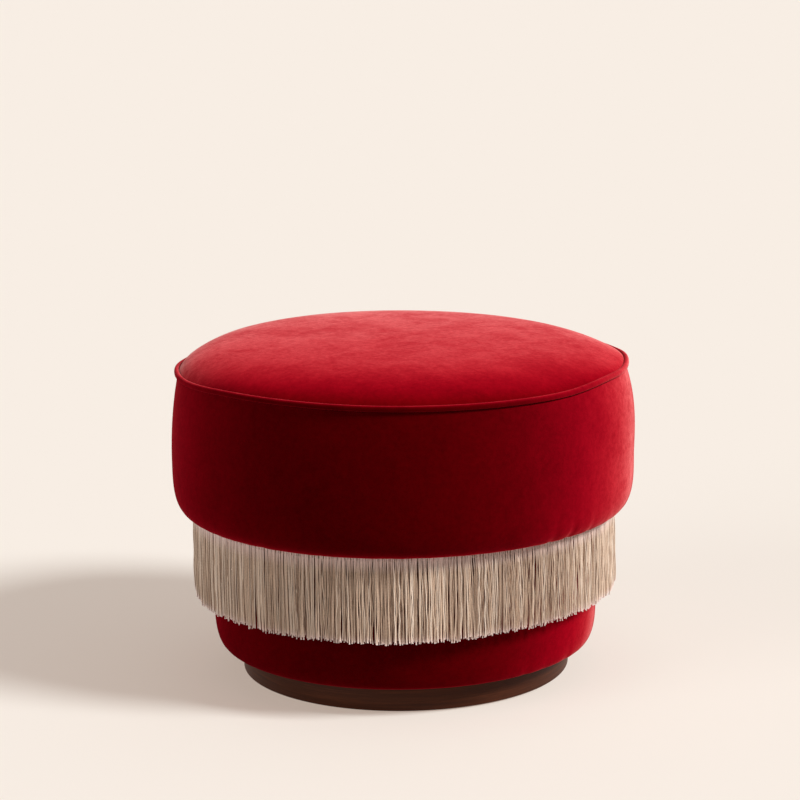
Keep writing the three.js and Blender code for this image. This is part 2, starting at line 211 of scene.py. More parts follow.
floor_mesh = bpy.data.meshes.new("floor")
floor_corners = [(-1, -1), (1, -1), (1, 1), (-1, 1)]
floor_points = [(x * floor_reach, y * floor_reach, 0) for x, y in floor_corners]
floor_mesh.from_pydata(floor_points, [], [(0, 1, 2, 3)])
floor_mesh.materials.append(floor_finish())
floor = bpy.data.objects.new("floor", floor_mesh)
bpy.context.scene.collection.objects.link(floor)


# Glides: four black plastic pads, nailed up into the plinth near its edge, which the whole
# tuffet stands on. Each has a rounded rim and a slightly hollow sole round its nail head.
glide_count = 4
glide_rim = 0.0008
glide_rim_share = 0.3
glide_sole_radius = 0.0035
glide_steps = 48


def turned(name, outline, angles, place=(0, 0), shape=None):
    """A mesh turned about an upright axis from an outline of (radius, height) points.

    An outline that doesn't start on the axis closes on itself. UVs are metres along the
    turn and along the outline. shape(angle, radius, height) may move a point.
    """
    vertices = []
    rows = []
    for radius, height in outline:
        row = []
        for angle in angles if radius > 0 else angles[:1]:
            r, z = shape(angle, radius, height) if shape else (radius, height)
            row.append(len(vertices))
            vertices.append((place[0] + r * math.cos(angle), place[1] + r * math.sin(angle), z))
        rows.append(row)
    lengths = [0.0]
    for start, end in zip(outline, outline[1:] + outline[:1]):
        lengths.append(lengths[-1] + math.dist(start, end))
    widest = max(radius for radius, height in outline)
    turns = [*angles, angles[0] + 2 * math.pi]
    faces = []
    uvs = []
    spans = len(outline) - 1 if outline[0][0] == 0 else len(outline)
    for i in range(spans):
        near = rows[i]
        far = rows[(i + 1) % len(rows)]
        for k in range(len(angles)):
            after = (k + 1) % len(angles)
            corners = [(near, k, i), (near, after, i), (far, after, i + 1), (far, k, i + 1)]
            if len(near) == 1:
                corners.pop(1)
            if len(far) == 1:
                corners.pop(2)
            faces.append([row[c % len(row)] for row, c, along in corners])
            for row, c, along in corners:
                turn = turns[k + 1] if c == after else turns[k]
                uvs.append((turn * widest, lengths[along]))
    mesh = bpy.data.meshes.new(name)
    mesh.from_pydata(vertices, [], faces)
    layer = mesh.uv_layers.new(name="UVMap")
    for loop, uv in zip(layer.data, uvs):
        loop.uv = uv
    mesh.shade_smooth()
    mesh.validate()
    piece = bpy.data.objects.new(name, mesh)
    bpy.context.scene.collection.objects.link(piece)
    return piece


def even_turns(steps):
    """Angles of a whole turn that starts at the back, where joins and seams are."""
    return [math.pi / 2 + i * 2 * math.pi / steps for i in range(steps)]


def mottle(shade, place, scale, detail, roughness=0.5, distortion=0.0):
    """Cloudy unevenness between 0 and 1, finer with a greater scale."""
    return shade.node("ShaderNodeTexNoise", inputs={
        "Vector": place, "Scale": scale, "Detail": detail, "Roughness": roughness, "Distortion": distortion,
    })


def roughened(shade, height, strength, depth):
    """A surface raised by this height, between 0 and 1, over a depth in metres."""
    return shade.node("ShaderNodeBump", inputs={"Height": height, "Strength": strength, "Distance": depth})


def plastic_finish():
    material, shade = new_finish("glide_plastic")
    place = shade.node("ShaderNodeTexCoord", output="Object")
    scuff = mottle(shade, place, scale=700.0, detail=3.0)
    finish_with(shade, shade.node("ShaderNodeBsdfPrincipled", inputs={
        "Base Color": (0.018, 0.016, 0.015, 1.0),
        "Roughness": 0.4 + scuff * 0.3,
        "Normal": roughened(shade, scuff, strength=0.25, depth=0.0003),
    }))
    return material


def add_piece(piece, material, slot, *nodes):
    """The finished piece joins the tuffet's one body, in place of these nodes."""
    piece.data.materials.append(material)
    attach(piece, "root")
    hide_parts(*nodes)


glide_plastic = plastic_finish()
for number in range(1, glide_count + 1):
    low, high = (Vector(corner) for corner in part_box(f"glide_{number}"))
    radius = (high.x - low.x) / 2
    glide_outline = [
        (0, low.z + glide_rim),
        (glide_sole_radius, low.z + glide_rim),
        (glide_sole_radius + glide_rim, low.z),
        (radius - glide_rim, low.z),
        (radius - glide_rim * glide_rim_share, low.z + glide_rim * glide_rim_share),
        (radius, low.z + glide_rim),
        (radius, high.z),
        (0, high.z),
    ]
    centre = ((low.x + high.x) / 2, (low.y + high.y) / 2)
    glide = turned(f"glide_pad_{number}", glide_outline, even_turns(glide_steps), place=centre)
    add_piece(glide, glide_plastic, "glide_plastic", f"glide_{number}")


# Base cloth: a disc of black non-woven cloth, stapled flat under the plinth to close it
# off. Its felted fibres show as a fine dull speckle.
cloth_rings = 12
cloth_steps = 96
cloth_sag = 0.0004
cloth_sag_power = 4


def coloured(shade, tone, *stops):
    """The colour that a tone has between stops of (tone, colour)."""
    return shade.node("ShaderNodeValToRGB", {"stops": stops}, {"Fac": tone})


def black_cloth_finish():
    material, shade = new_finish("black_cloth")
    place = shade.node("ShaderNodeTexCoord", output="Object")
    fibres = mottle(shade, place, scale=1400.0, detail=4.0)
    dots = shade.node("ShaderNodeTexVoronoi", inputs={"Vector": place, "Scale": 420.0})
    felt = fibres * 0.7 + dots * 0.3
    finish_with(shade, shade.node("ShaderNodeBsdfPrincipled", inputs={
        "Base Color": coloured(shade, felt, (0.3, (0.006, 0.0055, 0.0055)), (0.75, (0.03, 0.028, 0.028))),
        "Roughness": 0.95,
        "Normal": roughened(shade, felt, strength=0.5, depth=0.0004),
    }))
    return material


low, high = (Vector(corner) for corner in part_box("base_cloth"))
cloth_radius = high.x
under = []
over = []
for ring in range(cloth_rings + 1):
    share = ring / cloth_rings
    sag = cloth_sag * (1 - share ** cloth_sag_power)
    under.append((share * cloth_radius, low.z - sag))
    over.append((share * cloth_radius, high.z - sag))
base_cloth = turned("base_cloth_sheet", under + over[::-1], even_turns(cloth_steps))
add_piece(base_cloth, black_cloth_finish(), "black_cloth", "base_cloth")


# Plinth: two fibreboard discs screwed up into the drum, with a thin band of dark stained
# wood bent round them. The band's grain runs round it, and its ends meet at the back.
band_edge = 0.0012
band_edge_steps = 4
band_steps = 288
glue_line = 0.0003


def stained_wood_finish():
    material, shade = new_finish("stained_wood")
    along = shade.node("ShaderNodeUVMap")
    stretched = along.scaled(7.0, 260.0, 1.0)
    figure = mottle(shade, stretched, scale=1.0, detail=6.0, roughness=0.65, distortion=0.6)
    pores = mottle(shade, along.scaled(60.0, 2600.0, 1.0), scale=1.0, detail=2.0)
    clouds = mottle(shade, along, scale=9.0, detail=2.0)
    tone = figure * 0.6 + pores * 0.25 + clouds * 0.15
    stain = coloured(
        shade, tone,
        (0.3, (0.026, 0.0055, 0.0018)), (0.5, (0.062, 0.0155, 0.0052)), (0.72, (0.13, 0.038, 0.015)),
    )
    finish_with(shade, shade.node("ShaderNodeBsdfPrincipled", inputs={
        "Base Color": stain,
        "Specular IOR Level": 0.14,
        "Roughness": 0.40 + tone * 0.2,
        "Normal": roughened(shade, tone, strength=0.35, depth=0.0004),
    }))
    return material


def fibreboard_finish():
    material, shade = new_finish("fibreboard")
    place = shade.node("ShaderNodeTexCoord", output="Object")
    fibres = mottle(shade, place, scale=900.0, detail=5.0)
    finish_with(shade, shade.node("ShaderNodeBsdfPrincipled", inputs={
        "Base Color": coloured(shade, fibres, (0.3, (0.25, 0.145, 0.065)), (0.7, (0.47, 0.31, 0.16))),
        "Roughness": 0.8,
        "Normal": roughened(shade, fibres, strength=0.3, depth=0.0003),
    }))
    return material


def repaint(material, *nodes):
    """A carried-over node of the frame gets this finish on all its faces."""
    for node in nodes:
        for material_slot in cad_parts[node].material_slots:
            material_slot.material = material


low, high = (Vector(corner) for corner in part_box("plinth_band"))
core_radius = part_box("plinth_upper_core")[1][0]
band_inner = core_radius + glue_line
band_outline = [(band_inner, high.z), (band_inner, low.z)]
for height, start in [(low.z + band_edge, -90), (high.z - band_edge, 0)]:
    for step in range(band_edge_steps + 1):
        angle = math.radians(start + step * 90 / band_edge_steps)
        radius = high.x - band_edge + band_edge * math.cos(angle)
        band_outline.append((radius, height + band_edge * math.sin(angle)))
plinth_band = turned("plinth_wood_band", band_outline, even_turns(band_steps))
add_piece(plinth_band, stained_wood_finish(), "stained_wood", "plinth_band")
repaint(fibreboard_finish(), "plinth_upper_core", "plinth_lower_core")


# Drum frame: two plywood discs held apart by six softwood posts, with a thin plywood skin
# bent round them. Zinc-plated screws hold both ends of each post, and four more come up
# through the plinth.
post_count = 6
plinth_screw_count = 4


def plywood_finish():
    material, shade = new_finish("plywood")
    place = shade.node("ShaderNodeTexCoord", output="Object")
    grain = mottle(shade, place.scaled(6.0, 110.0, 400.0), scale=1.0, detail=5.0, distortion=0.4)
    plies = shade.node("ShaderNodeTexWave", {"bands_direction": "Z"}, {"Vector": place, "Scale": 105.0})
    tone = grain * 0.7 + plies * 0.3
    wood = coloured(
        shade, tone,
        (0.25, (0.33, 0.19, 0.085)), (0.55, (0.58, 0.40, 0.20)), (0.8, (0.72, 0.54, 0.32)),
    )
    finish_with(shade, shade.node("ShaderNodeBsdfPrincipled", inputs={
        "Base Color": wood,
        "Roughness": 0.65 + tone * 0.15,
        "Normal": roughened(shade, tone, strength=0.25, depth=0.0003),
    }))
    return material


def softwood_finish():
    material, shade = new_finish("softwood")
    place = shade.node("ShaderNodeTexCoord", output="Object")
    rings = shade.node("ShaderNodeTexWave", {"wave_type": "RINGS", "rings_direction": "Z"}, {
        "Vector": place, "Scale": 70.0, "Distortion": 3.0, "Detail": 2.0, "Detail Scale": 0.6,
    })
    finish_with(shade, shade.node("ShaderNodeBsdfPrincipled", inputs={
        "Base Color": coloured(shade, rings, (0.2, (0.70, 0.50, 0.27)), (0.9, (0.50, 0.31, 0.14))),
        "Roughness": 0.7,
        "Normal": roughened(shade, rings, strength=0.15, depth=0.0003),
    }))
    return material


def zinc_finish():
    material, shade = new_finish("zinc_plate")
    place = shade.node("ShaderNodeTexCoord", output="Object")
    spangle = mottle(shade, place, scale=500.0, detail=3.0)
    finish_with(shade, shade.node("ShaderNodeBsdfPrincipled", inputs={
        "Base Color": coloured(shade, spangle, (0.3, (0.42, 0.44, 0.45)), (0.7, (0.62, 0.63, 0.62))),
        "Metallic": 1.0,
        "Roughness": 0.28 + spangle * 0.2,
        "Normal": roughened(shade, spangle, strength=0.1, depth=0.0002),
    }))
    return material


plywood = plywood_finish()
zinc = zinc_finish()
softwood = softwood_finish()
repaint(plywood, "drum_top_board", "drum_bottom_board", "drum_shell")
for number in range(1, post_count + 1):
    repaint(softwood, f"drum_post_{number}")
    repaint(zinc, f"top_screw_{number}", f"bottom_screw_{number}")
for number in range(1, plinth_screw_count + 1):
    repaint(zinc, f"plinth_screw_{number}")


# Drum foam: a 15 mm foam strip glued round the plywood skin, rounded off at its bottom
# edge so that the velvet turns softly in under the drum.
foam_steps = 96
drum_foam_side_steps = 12
drum_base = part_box("drum_cover")[0][2]
drum_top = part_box("drum_cover")[1][2]
drum_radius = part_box("drum_cover")[1][0]
drum_foam_thickness = 0.015
velvet_thickness = 0.002
lining_gap = 0.0003
drum_corner_rise = 0.055
drum_corner_power = 2.7
drum_corner_radius = drum_radius - velvet_thickness - lining_gap - drum_foam_thickness


def foam_finish():
    material, shade = new_finish("foam")
    place = shade.node("ShaderNodeTexCoord", output="Object")
    cells = shade.node("ShaderNodeTexVoronoi", inputs={"Vector": place, "Scale": 900.0})
    clouds = mottle(shade, place, scale=20.0, detail=3.0)
    tone = clouds * 0.6 + cells * 0.4
    finish_with(shade, shade.node("ShaderNodeBsdfPrincipled", inputs={
        "Base Color": coloured(shade, tone, (0.2, (0.74, 0.66, 0.40)), (0.8, (0.84, 0.78, 0.56))),
        "Roughness": 0.95,
        "Normal": roughened(shade, cells, strength=0.5, depth=0.0006),
    }))
    return material


def round_corner(centre_radius, centre_height, run, rise, power, steps):
    """A soft corner from the side of a pad down to the middle of its base."""
    points = []
    for step in range(steps + 1):
        angle = step / steps * math.pi / 2
        across = 0 if step == steps else math.cos(angle) ** (2 / power)
        down = math.sin(angle) ** (2 / power)
        points.append((centre_radius + run * across, centre_height - rise * down))
    return points


def drum_side(inset, steps):
    """The drum's outline from its top down and in under its base, moved in by an inset."""
    run = drum_radius - drum_corner_radius - inset
    centre_height = drum_base + drum_corner_rise
    corner = round_corner(
        drum_corner_radius, centre_height, run, drum_corner_rise - inset, drum_corner_power, steps,
    )
    straight = []
    for step in range(steps // 2):
        height = drum_top + (centre_height - drum_top) * step / (steps // 2)
        straight.append((drum_radius - inset, height))
    return straight + corner


foam = foam_finish()
drum_foam_outline = drum_side(velvet_thickness + lining_gap, drum_foam_side_steps)
drum_foam_outline.append((drum_corner_radius, drum_top))
drum_foam = turned("drum_foam_strip", drum_foam_outline, even_turns(foam_steps))
add_piece(drum_foam, foam, "foam", "drum_foam")


# Drum cover: one strip of velvet sewn into a ring at the back, pulled down over the foam
# and stapled under the drum. Its gathers pucker the lower edge a little.
cover_steps = 384
drum_side_steps = 22
seam_steps = (0.0008, 0.002, 0.0045, 0.009)
seam_depth = 0.0012
seam_width = 0.0022
tack_margin = 0.030
tack_band = velvet_thickness * 1.5
drum_gathers = 46
drum_gathers_stray = 14
drum_gather_depth = 0.0004
drum_gather_power = 3
drum_hand_wave = 0.0006
drum_pleats = [(-52, 0.0012), (-44, 0.0007), (-33, 0.0008), (20, 0.0006), (112, 0.0010)]
drum_pleat_width = math.radians(1.6)
velvet_mottle = 0.23
velvet_tips = (0.98, 0.39, 0.36)


def velvet_finish(name, end_colour, side_colour, side_spread, tip_spread, tip_level, lean_round, lean_up):
    """Deep red velvet, a cut pile: dark where it is seen end-on, bright where it is seen from
    the side and pinkish along its tips. The pile leans round the tuffet by one share and
    upwards by another.
    """
    material, shade = new_finish(name)
    place = shade.node("ShaderNodeTexCoord", output="Object")
    pile = mottle(shade, place, scale=850.0, detail=2.0)
    nap = mottle(shade, place, scale=160.0, detail=4.0, roughness=0.6)
    brushed = mottle(shade, place, scale=26.0, detail=3.0, distortion=1.2)
    patches = mottle(shade, place, scale=7.0, detail=2.0, distortion=0.8)
    tone = patches * 0.2 + brushed * 0.2 + nap * 0.35 + pile * 0.25
    relief = roughened(shade, brushed * 0.3 + nap * 0.45 + pile * 0.25, strength=0.25, depth=0.0012)
    sideways = shade.node("ShaderNodeVectorMath", {"operation": "CROSS_PRODUCT"}, {0: (0, 0, 1), 1: relief})
    lean = shade.node("ShaderNodeVectorMath", {"operation": "SCALE"}, {0: sideways, "Scale": lean_round})
    lean = shade.node("ShaderNodeVectorMath", {"operation": "ADD"}, {0: lean, 1: (0, 0, lean_up)})
    pile_way = shade.node("ShaderNodeVectorMath", {"operation": "ADD"}, {0: relief, 1: lean})
    pile_way = shade.node("ShaderNodeVectorMath", {"operation": "NORMALIZE"}, {0: pile_way})
    facing = shade.node("ShaderNodeLayerWeight", inputs={"Blend": 0.5, "Normal": pile_way}, output="Facing")

    def pile_seen(colour, sheen):
        darker = tuple(channel * (1 - velvet_mottle) for channel in colour)
        lighter = tuple(channel * (1 + velvet_mottle) for channel in colour)
        return shade.node("ShaderNodeBsdfPrincipled", inputs={
            "Base Color": coloured(shade, tone, (0.36, darker), (0.64, lighter)),
            "Roughness": 0.9,
            "Specular IOR Level": 0.0,
            "Sheen Weight": sheen,
            "Sheen Roughness": 0.3,
            "Sheen Tint": (1.0, 0.45, 0.42, 1.0),
            "Normal": relief,
        })

    end_on = pile_seen(end_colour, sheen=0.05)
    side_on = pile_seen(side_colour, sheen=0.07)
    tips = pile_seen(velvet_tips, sheen=0.25)
    surface = shade.node("ShaderNodeMixShader", inputs={0: facing ** side_spread, 1: end_on, 2: side_on})
    stroked = shade.node("ShaderNodeMapRange", {"interpolation_type": "SMOOTHSTEP"}, {
        "Value": brushed * 0.4 + nap * 0.3 + patches * 0.3, "From Min": 0.36, "From Max": 0.62,
        "To Min": tip_level / 2, "To Max": tip_level,
    })
    tip_share = facing ** tip_spread * stroked
    surface = shade.node("ShaderNodeMixShader", inputs={0: tip_share, 1: surface, 2: tips})
    finish_with(shade, surface)
    return material


def hand_line(seed, slowest, fastest, parts=6):
    """A smooth uneven line round the tuffet, between -1 and 1, as hand work leaves it. Its
    waves go round between slowest and fastest times.
    """
    pick = random.Random(seed)
    waves = [(pick.randint(slowest, fastest), pick.uniform(0, 2 * math.pi)) for part in range(parts)]
    return lambda angle: sum(math.sin(count * angle + phase) for count, phase in waves) / parts


def laid_line(marks):
    """A smooth line round the tuffet through marks of (degrees round from the right, lift)."""
    turns = [math.radians(degrees) for degrees, lift in marks]
    lifts = [lift for degrees, lift in marks]

    def slope(i):
        after = (i + 1) % len(marks)
        return (lifts[after] - lifts[i - 1]) / ((turns[after] - turns[i - 1]) % (2 * math.pi))

    def line(angle):
        angle = (angle - turns[0]) % (2 * math.pi) + turns[0]
        i = max(k for k in range(len(marks)) if turns[k] <= angle)
        after = (i + 1) % len(marks)
        span = (turns[after] - turns[i]) % (2 * math.pi)
        t = (angle - turns[i]) / span
        start = lifts[i] * (1 + 2 * t) * (1 - t) ** 2 + slope(i) * span * t * (1 - t) ** 2
        return start + lifts[after] * t ** 2 * (3 - 2 * t) - slope(after) * span * t ** 2 * (1 - t)

    return line


def seamed_turns(steps, radius):
    """Angles of a whole turn, closer together beside the seam at the back."""
    gap = 2 * math.pi / steps
    reach = seam_steps[-1] / radius + gap / 3
    offsets = [i * gap for i in range(steps)]
    clear = [offset for offset in offsets if offset == 0 or min(offset, 2 * math.pi - offset) > reach]
    beside = [side * step / radius % (2 * math.pi) for step in seam_steps for side in (-1, 1)]
    return [math.pi / 2 + offset for offset in sorted(clear + beside)]


def turn_from(start, angle):
    """How far round from the start an angle is, between -pi and pi."""
    return (angle - start + math.pi) % (2 * math.pi) - math.pi


def seam_dip(angle, radius):
    """How deep the sewn join at the back draws the velvet in."""
    across = turn_from(math.pi / 2, angle) * radius / seam_width
    return seam_depth * math.exp(-across ** 2)


def pleat_dip(angle, pleats, width):
    """Small pleats, each (degrees round from the right, depth), where the cloth is taken in."""
    dip = 0.0
    for degrees, depth in pleats:
        dip += depth * math.exp(-(turn_from(math.radians(degrees), angle) / width) ** 2)
    return dip


drum_gather = hand_line(11, drum_gathers - drum_gathers_stray, drum_gathers + drum_gathers_stray)
drum_wave = hand_line(12, slowest=2, fastest=9)
drum_tack_radius = drum_corner_radius - tack_margin
drum_outline = (
    drum_side(0, drum_side_steps)
    + [(drum_tack_radius, drum_base), (drum_tack_radius, drum_base + velvet_thickness)]
    + drum_side(velvet_thickness, drum_side_steps)[::-1]
)


def drum_shape(angle, radius, height):
    """Gathers and pleats, deepest where the velvet turns under the drum. What is stapled flat
    there is never pushed down.
    """
    low_share = max(0.0, 1 - (height - drum_base) / drum_corner_rise)
    turned_in = min(1.0, max(0.0, (radius - drum_tack_radius) / tack_margin))
    pull = low_share ** drum_gather_power * turned_in
    dip = drum_gather_depth * drum_gather(angle) + pleat_dip(angle, drum_pleats, drum_pleat_width)
    lift = drum_hand_wave * drum_wave(angle) * pull
    if height < drum_base + tack_band:
        lift = max(lift, 0.0)
    radius -= dip * pull + seam_dip(angle, radius) * turned_in
    return radius - drum_hand_wave * drum_wave(angle) * turned_in * (1 - low_share), height + lift


drum_red = velvet_finish(
    "red_velvet_drum", end_colour=(0.080, 0.0002, 0.0010), side_colour=(0.57, 0.002, 0.017),
    side_spread=1.7, tip_spread=12.0, tip_level=0.4, lean_round=0.21, lean_up=0.25,
)
drum_cover = turned("drum_velvet", drum_outline, seamed_turns(cover_steps, drum_radius), shape=drum_shape)
add_piece(drum_cover, drum_red, "velvet", "drum_cover")


# Fringe tape: the woven heading that the fringe hangs from, glued and tacked flat under
# the edge of the seat. Its ribs run across it.
tape_steps = 360
tape_rib = 0.00025
tape_width = 0.0145
tape_edge = 0.0004


def tape_finish():
    material, shade = new_finish("fringe_tape")
    along = shade.node("ShaderNodeUVMap")
    ribs = shade.node("ShaderNodeTexWave", {"bands_direction": "X"}, {
        "Vector": along, "Scale": 130.0, "Distortion": 0.6,
    })
    weft = shade.node("ShaderNodeTexWave", {"bands_direction": "Y"}, {
        "Vector": along, "Scale": 260.0, "Distortion": 0.4,
    })
    weave = ribs * 0.65 + weft * 0.35
    finish_with(shade, shade.node("ShaderNodeBsdfPrincipled", inputs={
        "Base Color": coloured(shade, weave, (0.15, (0.24, 0.165, 0.115)), (0.8, (0.52, 0.385, 0.29))),
        "Roughness": 0.8,
        "Normal": roughened(shade, weave, strength=0.6, depth=0.0005),
    }))
    return material


low, high = (Vector(corner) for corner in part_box("fringe_heading"))
tape_inner = high.x - tape_width
tape_outline = [
    (tape_inner, high.z),
    (tape_inner, low.z + tape_edge),
    (tape_inner + tape_edge, low.z),
    (high.x - tape_edge, low.z),
    (high.x, low.z + tape_edge),
    (high.x, high.z),
]


def tape_shape(angle, radius, height):
    """Ribs across the tape, raised on its underside."""
    rib = tape_rib / 2 * (1 + math.cos(angle * tape_steps / 2)) if height < high.z else 0.0
    return radius, height + rib


fringe_tape = turned("fringe_tape", tape_outline, even_turns(tape_steps), shape=tape_shape)
add_piece(fringe_tape, tape_finish(), "fringe_yarn", "fringe_heading")


# Fringe: about 2,200 soft beige yarns, looped over the edge of the tape in two rows and
# stitched. They hang free in front of the drum, lean and cross a little, and are cut by eye.
front_yarns = 1140
back_yarns = 1100
yarn_radius = 0.00062
yarn_thickness_range = (0.8, 1.2)
yarn_sides = 4
yarn_steps = 12
yarn_end = 0.0026
yarn_end_swell = 1.3
row_gap = 0.0052
row_proud = 0.0004
yarn_place_stray = 0.45
yarn_stray = 0.0013
yarn_wave = 0.0008
yarn_wave_range = (0.2, 1.0)
yarn_waves_range = (0.8, 3.4)
yarn_wave_outward = 0.6
yarn_lean = 0.0030
yarn_lean_power = 1.4
yarn_depth_stray = 0.0012
yarn_flare = 0.0008
yarn_tone_middle = 0.55
yarn_tone_stray = 0.42
yarn_tone_patches = 0.3
yarn_sharp_edge = math.radians(60)
cut_above_solid = 0.0025
cut_stray = 0.0026
cut_patches = 0.6
cut_marks = [(-120, 0.0), (-90, 0.0004), (-62, 0.0036), (-35, 0.0042), (-5, 0.0030), (60, 0.0), (180, 0.0)]
# Painted light on a yarn's first two and last two steps: the share of pale colour that lightens the shade
# under the seat's edge at the top and stands for light from the velvet at the cut end.
yarn_painted_light = {0: 1.0, 1: 0.5, yarn_steps - 1: 0.35, yarn_steps: 1.0}
strip_depth = 0.002
strip_width = 0.0072


def yarn_finish():
    """Twisted beige viscose: soft and a little shiny, each yarn a shade of its own, with painted
    light at both ends: a pale pinkish colour that lightens the shade under the seat's edge at
    the top and stands for light thrown back from the velvet at the cut end.
    """
    material, shade = new_finish("fringe_yarn")
    along = shade.node("ShaderNodeUVMap")
    twist = shade.node("ShaderNodeTexWave", {"bands_direction": "DIAGONAL"}, {
        "Vector": along, "Scale": 170.0,
    })
    fuzz = mottle(shade, along, scale=520.0, detail=3.0)
    tone = shade.node("ShaderNodeAttribute", {"attribute_name": "yarn_tone"}, output="Fac")
    pale_end = shade.node("ShaderNodeAttribute", {"attribute_name": "pale_end"}, output="Fac")
    dyed = coloured(
        shade, tone * 0.62 + twist * 0.08 + fuzz * 0.30,
        (0.12, (0.38, 0.25, 0.17)), (0.5, (0.78, 0.58, 0.43)), (0.88, (0.98, 0.83, 0.69)),
    )
    # Painted light: the pale pinkish colour mixed in at the ends of each yarn.
    colour = shade.node("ShaderNodeMix", {"data_type": "RGBA"}, {
        0: pale_end, 6: dyed, 7: (1.0, 0.80, 0.75, 1.0),
    }, output=2)
    finish_with(shade, shade.node("ShaderNodeBsdfPrincipled", inputs={
        "Base Color": colour,
        "Roughness": 0.55,
        "Sheen Weight": 0.45,
        "Sheen Roughness": 0.5,
        "Sheen Tint": (1.0, 0.9, 0.82, 1.0),
        "Normal": roughened(shade, twist, strength=0.12, depth=0.0003),
    }))
    return material


low, high = (Vector(corner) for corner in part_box("fringe_threads"))
fringe_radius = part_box("fringe_heading")[1][0]
fringe_cut = low.z + cut_above_solid
strip_bottom = high.z - strip_depth
tape_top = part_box("fringe_heading")[1][2]
yarn_pick = random.Random(29)
clump_line = hand_line(31, slowest=18, fastest=90, parts=14)
clump_depth_line = hand_line(32, slowest=25, fastest=120, parts=14)
tone_line = hand_line(33, slowest=30, fastest=160, parts=12)
cut_line = hand_line(34, slowest=5, fastest=70, parts=10)
cut_rise = laid_line(cut_marks)

yarn_points = []
yarn_faces = []
yarn_uvs = []
yarn_tones = []
yarn_painted_light_shares = []


def hang_yarn(angle, radius, top):
    """One yarn from the tape down to its cut end, as a ring of points at each step."""
    ragged = yarn_pick.uniform(-1, 1) + cut_line(angle) * cut_patches
    bottom = fringe_cut + cut_rise(angle) + cut_stray * ragged
    thickness = yarn_radius * yarn_pick.uniform(*yarn_thickness_range)
    lean = yarn_lean * clump_line(angle) + yarn_pick.gauss(0, yarn_stray)
    depth_lean = yarn_depth_stray * clump_depth_line(angle) + yarn_pick.gauss(0, yarn_depth_stray / 2)
    waves = yarn_pick.uniform(*yarn_waves_range)
    wave_start = yarn_pick.uniform(0, 2 * math.pi)
    wave = yarn_wave * yarn_pick.uniform(*yarn_wave_range)
    tone = yarn_pick.gauss(yarn_tone_middle, yarn_tone_stray) + tone_line(angle) * yarn_tone_patches
    tone = min(1.0, max(0.0, tone))
    first = len(yarn_points)
    heights = [top + (bottom - top) * step / (yarn_steps - 1) for step in range(yarn_steps)]
    heights.insert(-1, bottom + yarn_end)
    for step, height in enumerate(heights):
        share = (height - top) / (bottom - top)
        swing = wave * (math.sin(wave_start + waves * 2 * math.pi * share) - math.sin(wave_start))
        sideways = lean * share ** yarn_lean_power + swing
        outward = depth_lean * share + yarn_flare * math.sin(math.pi * share) + yarn_wave_outward * swing
        turn = angle + sideways / radius
        fat = thickness * (yarn_end_swell if step == yarn_steps else 1.0)
        for side in range(yarn_sides):
            around = 2 * math.pi * side / yarn_sides
            r = radius + outward + fat * math.cos(around)
            a = turn + fat * math.sin(around) / radius
            yarn_points.append((r * math.cos(a), r * math.sin(a), height))
            yarn_tones.append(tone)
            # Each point's share of painted light.
            yarn_painted_light_shares.append(yarn_painted_light.get(step, 0.0))
    girth = 2 * math.pi * thickness / yarn_sides
    length = (top - bottom) / yarn_steps
    for step in range(yarn_steps):
        near = first + step * yarn_sides
        far = near + yarn_sides
        for side in range(yarn_sides):
            after = (side + 1) % yarn_sides
            yarn_faces.append((near + side, far + side, far + after, near + after))
            for s, t in ((side, step), (side, step + 1), (side + 1, step + 1), (side + 1, step)):
                yarn_uvs.append((s * girth + angle * radius, t * length))
    last = first + yarn_steps * yarn_sides
    yarn_faces.append(tuple(first + side for side in range(yarn_sides)))
    yarn_faces.append(tuple(last + side for side in reversed(range(yarn_sides))))
    for cap in (0, 1):
        for side in range(yarn_sides):
            yarn_uvs.append((angle * radius, cap * (top - bottom)))


for row_radius, row_top, count in (
    (fringe_radius + row_proud, tape_top, front_yarns),
    (fringe_radius + row_proud - row_gap, strip_bottom + strip_depth / 2, back_yarns),
):
    for number in range(count):
        place = 2 * math.pi * (number + yarn_pick.uniform(-yarn_place_stray, yarn_place_stray)) / count
        hang_yarn(math.pi / 2 + place, row_radius + yarn_pick.gauss(0, row_proud), row_top)

yarn_mesh = bpy.data.meshes.new("fringe_yarns")
yarn_mesh.from_pydata(yarn_points, [], yarn_faces)
for loop, uv in zip(yarn_mesh.uv_layers.new(name="UVMap").data, yarn_uvs):
    loop.uv = uv
yarn_mesh.attributes.new("yarn_tone", "FLOAT", "POINT").data.foreach_set("value", yarn_tones)
yarn_mesh.attributes.new("pale_end", "FLOAT", "POINT").data.foreach_set("value", yarn_painted_light_shares)
yarn_mesh.shade_smooth()
yarn_mesh.set_sharp_from_angle(angle=yarn_sharp_edge)
fringe_yarns = bpy.data.objects.new("fringe_yarns", yarn_mesh)
bpy.context.scene.collection.objects.link(fringe_yarns)
yarn = yarn_finish()
add_piece(fringe_yarns, yarn, "fringe_yarn", "fringe_threads")

strip_outline = [
    (fringe_radius - strip_width, high.z),
    (fringe_radius - strip_width, strip_bottom),
    (fringe_radius, strip_bottom),
    (fringe_radius, high.z),
]
fringe_strip = turned("fringe_strip", strip_outline, even_turns(tape_steps))
add_piece(fringe_strip, yarn, "fringe_yarn")


# Seat board: a plywood disc that carries the whole seat. Four bolts with washers hold it
# down to the drum, in zinc-plated tee nuts that are let into it.
bolt_count = 4

repaint(plywood, "seat_board")
for number in range(1, bolt_count + 1):
    repaint(zinc, f"seat_bolt_{number}", f"seat_washer_{number}", f"seat_nut_{number}")


